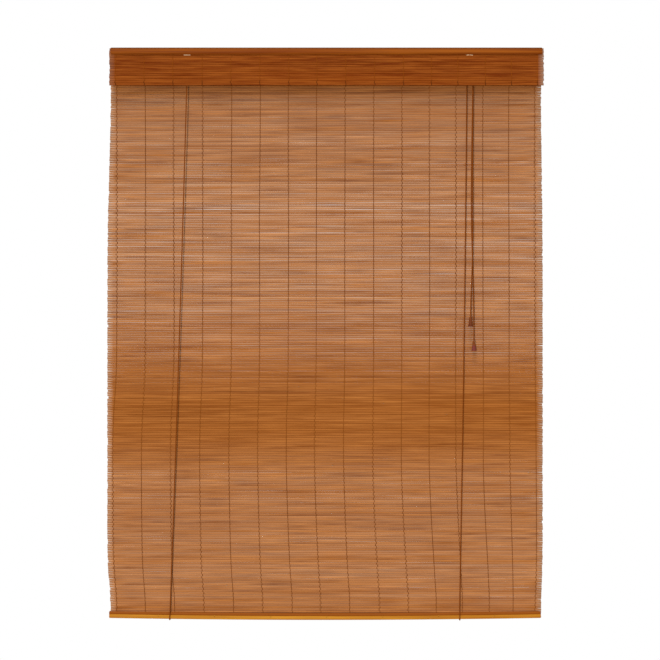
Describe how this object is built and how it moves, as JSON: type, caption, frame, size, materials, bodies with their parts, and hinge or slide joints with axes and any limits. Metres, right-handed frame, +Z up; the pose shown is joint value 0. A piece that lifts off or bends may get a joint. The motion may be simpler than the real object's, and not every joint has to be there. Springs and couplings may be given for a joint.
{
  "type": "bamboo roll up blind",
  "caption": "Woven split-bamboo roll-up blind with a valance, headrail, bowed bottom rail, lift cords that pass under the roll, pulleys with a cord lock, and pull cords with tassels.",
  "frame": {"origin": "middle of the headrail's top face, halfway between its two fixing screws", "axes": "+X to the right seen from the room, +Y away from the room towards the window, +Z up"},
  "size_m": [0.9032, 0.0384, 1.1882],
  "materials": {
    "stained_wood": "stained softwood batten",
    "stained_lath": "stained bamboo lath, satin lacquer",
    "golden_lath": "golden bamboo lath, satin lacquer",
    "valance_bamboo": "stained split bamboo, dark orange-brown",
    "blind_bamboo": "stained split bamboo, light orange-brown",
    "warp_thread": "twisted brown weaving thread",
    "brown_cord": "twisted brown cord",
    "steel": "bright steel wire",
    "brown_steel": "brown enamelled steel",
    "brown_plastic": "moulded brown nylon",
    "cam_metal": "plated steel",
    "tassel_wood": "turned wood, red-brown stain"
  },
  "bodies": {
    "headrail": {"headrail": "stained_wood", "valance_lath": "stained_lath", "valance_mat": "valance_bamboo", "valance_threads": "warp_thread", "valance_lath_pins": "brown_steel", "valance_staples": "steel", "blind_mat": "blind_bamboo", "warp_threads": "warp_thread", "mat_staples": "steel", "left_pulley_bracket": "brown_steel", "left_pulley_axle": "steel", "left_pulley_screws": "steel", "lock_bracket": "brown_steel", "lock_axle": "steel", "lock_cam_pin": "steel", "lock_screws": "steel", "anchor_staples": "steel", "anchor_knots": "brown_cord", "left_lift_cord": "brown_cord", "left_back_cord": "brown_cord", "left_cross_cord": "brown_cord", "left_pull_cord": "brown_cord", "right_lift_cord": "brown_cord", "right_back_cord": "brown_cord", "right_turn_cord": "brown_cord", "right_pull_cord": "brown_cord"},
    "bottom_rail": {"bottom_rail_front": "golden_lath", "bottom_rail_rear": "golden_lath", "bottom_rail_pins": "brown_steel"},
    "left_pulley_wheel": {"left_pulley_wheel": "brown_plastic"},
    "front_lock_wheel": {"front_lock_wheel": "brown_plastic"},
    "rear_lock_wheel": {"rear_lock_wheel": "brown_plastic"},
    "lock_cam": {"lock_cam": "cam_metal"},
    "upper_tassel": {"upper_tassel": "tassel_wood", "upper_tassel_knot": "brown_cord"},
    "lower_tassel": {"lower_tassel": "tassel_wood", "lower_tassel_knot": "brown_cord"}
  },
  "joints": [
    {"name": "lift", "type": "slide", "parent": "headrail", "child": "bottom_rail", "axis": [0, 0, 1], "range_m": [0, 1.05], "deforming": ["blind_mat", "warp_threads", "left_lift_cord", "right_lift_cord", "left_back_cord", "right_back_cord"]},
    {"name": "upper_tassel_pull", "type": "slide", "parent": "headrail", "child": "upper_tassel", "axis": [0, 0, -1], "range_m": [0, 2.1], "deforming": ["left_pull_cord"]},
    {"name": "lower_tassel_pull", "type": "slide", "parent": "headrail", "child": "lower_tassel", "axis": [0, 0, -1], "range_m": [0, 2.1], "deforming": ["right_pull_cord"]},
    {"name": "left_wheel_turn", "type": "hinge", "parent": "headrail", "child": "left_pulley_wheel", "pos_m": [-0.28309, -0.006, -0.045], "axis": [0, 1, 0], "continuous": true},
    {"name": "front_wheel_turn", "type": "hinge", "parent": "headrail", "child": "front_lock_wheel", "pos_m": [0.2976, -0.006, -0.045], "axis": [0, 1, 0], "continuous": true},
    {"name": "rear_wheel_turn", "type": "hinge", "parent": "headrail", "child": "rear_lock_wheel", "pos_m": [0.2976, 0, -0.045], "axis": [0, 1, 0], "continuous": true},
    {"name": "cam_swing", "type": "hinge", "parent": "headrail", "child": "lock_cam", "pos_m": [0.3136, -0.003, -0.052], "axis": [0, -1, 0], "range_deg": [0, 35]}
  ],
  "couplings": [
    {"joint": "upper_tassel_pull", "follows": "lift", "ratio": 2},
    {"joint": "lower_tassel_pull", "follows": "lift", "ratio": 2},
    {"joint": "left_wheel_turn", "follows": "lift", "rad_per_m": 322.58},
    {"joint": "front_wheel_turn", "follows": "lift", "rad_per_m": 322.58},
    {"joint": "rear_wheel_turn", "follows": "lift", "rad_per_m": 322.58}
  ]
}
